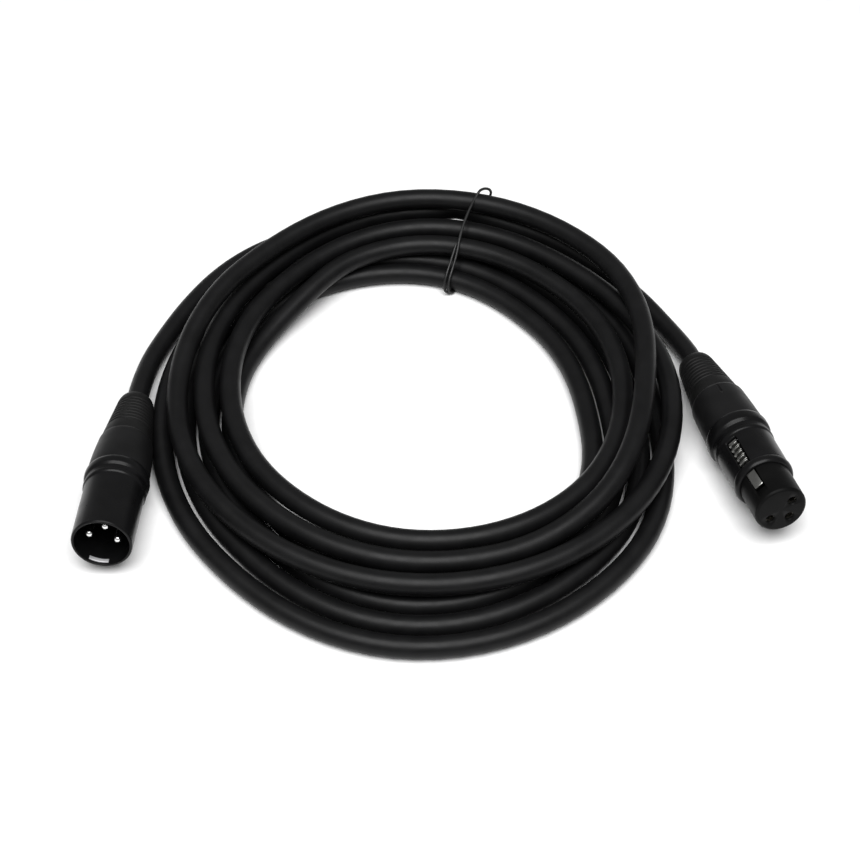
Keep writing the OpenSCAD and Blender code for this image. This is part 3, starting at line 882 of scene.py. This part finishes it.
@dataclass
class Socket(Connector):
    """The three-hole socket with its push latch."""

    nose_r: float = 8.3
    barrel_start: float = 13.0
    shell_end: float = 38.2
    insert_end: float = 31.0
    hole_angles: tuple[float, ...] = (0.0, 180.0, 270.0)
    slot_half: float = 2.0
    slot_span: tuple[float, float] = (15.9, 28.4)
    roll: float = 42.0

    def on_cord(self) -> list[bpy.types.Object]:
        """The socket's pieces that hang on the far end of the cord."""
        names = ["socket_barrel", "socket_contact_nose", "socket_screw_collar", "socket_grip_boot",
                 "latch_button", "socket_sleeve_1", "socket_sleeve_2", "socket_sleeve_3",
                 "socket_chuck", "socket_wire_1", "socket_wire_2", "socket_wire_3", "latch_pin",
                 "latch_spring"]
        return [bpy.data.objects[n] for n in names]

    def barrel(self, paints: Paintbox) -> None:
        """Makes the barrel with its front bead, double ring and the latch's slot."""
        corners = [(self.nose_r, self.barrel_start, 0.1), (8.95, self.barrel_start, 0.3),
                   (9.5, 13.7, 0.4), (9.68, 14.5, 0.4), (9.62, 15.4, 0.3), (9.32, 15.9, 0.15),
                   (9.4, 16.4, 0.15), (9.45, 22.0, 0), (9.5, 29.5, 0.3), (9.9, 30.2, 0.3),
                   (9.9, 31.2, 0.3), (9.5, 31.8, 0.25), (9.5, 33.4, 0.25), (10.35, 34.3, 0.4),
                   (10.48, 35.4, 0.5), (10.48, 37.2, 0.5), (10.2, self.shell_end, 0.15),
                   (7.6, self.shell_end, 0), (7.6, self.insert_end, 0), (self.nose_r, self.insert_end, 0)]
        piece = lathe("socket_barrel", self.axis, rounded(corners, 4), 128)
        a, b = self.slot_span
        carve(piece, prism("slot_tool", self.axis, slot_outline(self.slot_half, a, b, 0.5), 7.0, 12.0))
        finish_piece(piece, BLACK_METAL, paints, ["socket_shell"])

    def nose(self, paints: Paintbox) -> None:
        """Makes the insulating nose with its three holes and the latch's groove."""
        hollow, solid = 6.6, 19.0
        flare_r, lip_r, bore_r = 1.75, 1.35, 1.76
        corners = [(0.0, 0.0, 0), (self.nose_r - 0.7, 0.0, 0.3), (self.nose_r, 0.7, 0.4),
                   (self.nose_r, self.insert_end, 0), (hollow, self.insert_end, 0), (hollow, solid, 0),
                   (0.0, solid, 0)]
        piece = lathe("socket_contact_nose", self.axis, rounded(corners, 4), 128)
        for angle in self.hole_angles:
            x = self.contact_circle * math.cos(math.radians(angle))
            y = self.contact_circle * math.sin(math.radians(angle))
            hole: list[Point2] = [(0.0, -1.0), (flare_r, -1.0), (flare_r, 0.0), (1.42, 0.3),
                                  (lip_r, 0.5), (lip_r, 1.0), (bore_r, 1.0), (bore_r, solid + 1.0),
                                  (0.0, solid + 1.0)]
            carve(piece, lathe("hole_tool", self.axis.moved(x, y), hole, 32))
        carve(piece, prism("groove_tool", self.axis, slot_outline(1.8, 4.6, self.insert_end + 2, 0.4),
                           4.4, 10.0))
        finish_piece(piece, INSULATOR, paints, ["socket_insert"])

    def latch(self, paints: Paintbox) -> None:
        """Makes the latch: thumb button with rounded ribs, arm and hook in one piece."""
        half = 1.5
        button, top = (16.3, 27.7), 9.9
        ridges = 5
        pitch = (button[1] - button[0]) / ridges
        under, arm, shoulder = 6.4, 7.2, top - 0.8
        hook: list[Point2] = [(under, 7.0), (6.8, 6.3), (7.9, 6.2), (8.15, 6.6), (8.8, 11.9),
                              (8.75, 12.6), (arm, 12.7)]
        crown = [(-1.3, 0.0), (-0.12, 0.3), (0.0, 0.5), (0.0, 0.75), (-0.12, 0.95), (-1.3, 1.25)]
        side = hook + [(arm, button[0]), (shoulder, button[0])]
        for i in range(ridges):
            s = button[0] + i * pitch
            side += [(top + dy, s + ds) for dy, ds in crown]
        side += [(shoulder, button[1]), (arm, button[1]), (arm, 29.2), (under, 29.2)]
        count = len(side)
        points = [self.axis.place(x, y, s) for x in (-half, half) for y, s in side]
        faces = [[k, count + k, count + (k + 1) % count, (k + 1) % count] for k in range(count)]
        faces += [list(range(count)), list(range(count, 2 * count))[::-1]]
        piece = mesh_object("latch_button", points, faces)
        soften(piece, 0.1, 2)
        # The latch gets the darkened copy of the plating, which is painted shade.
        finish_piece(piece, LATCH_PLATE_PAINTED_SHADE, paints, ["latch_lever"], LATCH_BODY)

    def collar(self, paints: Paintbox) -> None:
        """Makes the screwed collar with its alignment notch."""
        corners = [(6.5, 32.0, 0), (7.58, 32.0, 0), (7.58, self.shell_end + 0.05, 0),
                   (10.05, self.shell_end + 0.05, 0.25), (9.65, 46.8, 4.0), (9.2, 54.2, 0.4),
                   (8.8, self.collar_end, 0.3), (7.18, self.collar_end, 0), (7.18, 61.9, 0),
                   (4.2, 61.9, 0), (4.2, 57.0, 0), (6.0, 54.0, 0), (6.0, 43.0, 0)]
        piece = lathe("socket_screw_collar", self.axis, rounded(corners, 4))
        upright = self.axis.rolled(8.0 - self.roll)
        carve(piece, prism("notch_tool", upright, slot_outline(0.35, 49.9, 54.4, 0.3), 8.9, 12.0))
        finish_piece(piece, COLLAR_PLASTIC, paints, ["socket_collar"])

    def build(self, paints: Paintbox) -> None:
        """Makes and dresses the whole socket."""
        self.barrel(paints)
        self.nose(paints)
        self.latch(paints)
        self.collar(paints)
        self.boot(8.6, 6.1, 7.2, 8, paints)
        for number in (1, 2, 3):
            dress(f"socket_sleeve_{number}", SLEEVE_BRASS, paints)
        dress("latch_pin", SPRING_STEEL, paints)
        dress("latch_spring", SPRING_STEEL, paints)
        self.inner_works(paints)


def axis_from_mounts(face: str, left: str, right: str) -> Axis:
    """A connector's frame from the record's mounts.

    Args:
        face: mount at the middle of the face.
        left: contact on the local -x side.
        right: contact on the local +x side.

    Returns:
        The frame, rolled as the contacts are.
    """
    along = Vector(mount(face)["axis"]).normalized()
    across = Vector(mount(right)["pos_m"]) - Vector(mount(left)["pos_m"])
    across = (across - along * across.dot(along)).normalized()
    return Axis(Vector(mount(face)["pos_m"]), across, along)


# ---------------------------------------------------------------- studio


@dataclass
class Studio:
    """Pale table, one soft light and the camera."""

    target: Vector = field(default_factory=lambda: Vector((-3.4, -4.3, 0.0)) * MM)
    distance: float = 0.636
    elevation: float = 45.0
    lens: float = 80.62
    sensor: float = 36.0

    def camera(self) -> None:
        """Sets the camera up."""
        data = bpy.data.cameras.new("camera")
        data.lens = self.lens
        data.sensor_width = self.sensor
        data.clip_start = 0.01
        camera = bpy.data.objects.new("camera", data)
        bpy.context.scene.collection.objects.link(camera)
        e = math.radians(self.elevation)
        camera.location = self.target + Vector((0, -math.cos(e), math.sin(e))) * self.distance
        camera.rotation_euler = (math.radians(90) - e, 0, 0)
        bpy.context.scene.camera = camera

    def table(self) -> None:
        """Lays the plain pale floor."""
        half = 1.6
        floor = mesh_object("table_top", [(-half, -half, 0), (half, -half, 0), (half, half, 0),
                                          (-half, half, 0)], [[0, 1, 2, 3]])
        finish = Finish("pale_table", "", (0.86, 0.86, 0.86), (0.9, 0.9, 0.9), 0.55, 0.65,
                        Grain.PEBBLE, 2.0, 0.01)
        floor.data.materials.append(finish.build())

    def lamp(self, name: str, place: Sequence[float], size: Sequence[float], power: float) -> None:
        """Hangs one soft area light that faces the origin.

        Args:
            name: name of the light.
            place: where it hangs, metres.
            size: width and height, metres.
            power: watts.
        """
        data = bpy.data.lights.new(name, "AREA")
        data.shape = "RECTANGLE"
        data.size, data.size_y = size
        data.energy = power
        lamp = bpy.data.objects.new(name, data)
        lamp.location = place
        lamp.rotation_euler = (-Vector(place)).to_track_quat("-Z", "Y").to_euler()
        bpy.context.scene.collection.objects.link(lamp)

    def light(self) -> None:
        """Sets the pale sky and the soft light."""
        world = bpy.data.worlds.new("sky")
        bpy.context.scene.world = world
        world.use_nodes = True
        sky = world.node_tree.nodes["Background"]
        sky.inputs["Color"].default_value = (1.0, 1.0, 1.0, 1.0)
        sky.inputs["Strength"].default_value = 0.3
        self.lamp("front_soft_box", (0.0, -0.42, 1.08), (1.1, 0.9), 21.0)

    def build(self) -> None:
        """Makes the whole studio."""
        self.camera()
        self.table()
        self.light()


def main() -> None:
    """Builds the studio, the connectors, the cord and the tie, and reports each piece."""
    logging.basicConfig(level=logging.INFO, format="%(name)s %(message)s")
    scene = bpy.context.scene
    scene.view_settings.view_transform = "Standard"
    Studio().build()
    paints = Paintbox()
    plug = Plug(side="plug", axis=axis_from_mounts("plug_mouth", "pin_1", "pin_2"), length=68.6,
                collar_end=46.5)
    socket = Socket(side="socket", axis=axis_from_mounts("socket_nose", "sleeve_2", "sleeve_1"),
                    length=77.6, collar_end=55.3)
    plug.build(paints)
    socket.build(paints)
    cord = Cord()
    cord.build(plug, socket, paints)
    WireTie().build(cord, paints)


if __name__ == "__main__":
    main()
